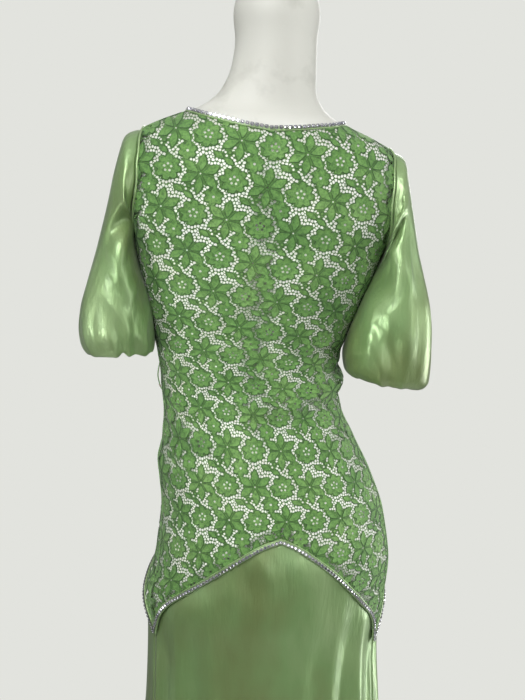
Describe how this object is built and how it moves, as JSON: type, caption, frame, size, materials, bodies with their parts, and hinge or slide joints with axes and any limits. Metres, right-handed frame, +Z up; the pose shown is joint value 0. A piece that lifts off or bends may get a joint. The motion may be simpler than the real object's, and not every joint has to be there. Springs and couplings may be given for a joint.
{
  "type": "bias cut dress on a dress form",
  "caption": "Full-length bias cut evening dress with a lace bodice, pointed crystal-edged hip line, puffed satin sleeves and flared satin skirt, worn by a limbless dress form.",
  "frame": {"origin": "on the floor, in the middle of the underside of the stand's base", "axes": "+Z up; the front of the dress faces -Y and its back +Y; the wearer's left is +X"},
  "size_m": [0.7246, 0.6588, 1.585],
  "materials": {
    "lace": "green floral machine lace, matt thread",
    "satin": "thin light green satin with a soft sheen",
    "crystal": "clear stones in silver cups",
    "thread": "twisted sewing thread",
    "form": "smooth off-white gloss",
    "metal": "plain steel"
  },
  "bodies": {
    "root": {"belt_loop_left": "thread", "binding_hem_back": "satin", "binding_hem_front": "satin", "binding_neck": "satin", "chain_hem_back": "crystal", "chain_hem_front": "crystal", "chain_neck": "crystal", "dress_form": "form", "lace_back": "lace", "lace_front": "lace", "piping_left": "satin", "piping_right": "satin", "skirt_back": "satin", "skirt_front": "satin", "sleeve_left_back": "satin", "sleeve_left_front": "satin", "sleeve_right_back": "satin", "sleeve_right_front": "satin", "stand_base": "metal", "stand_pole": "metal"}
  },
  "joints": []
}
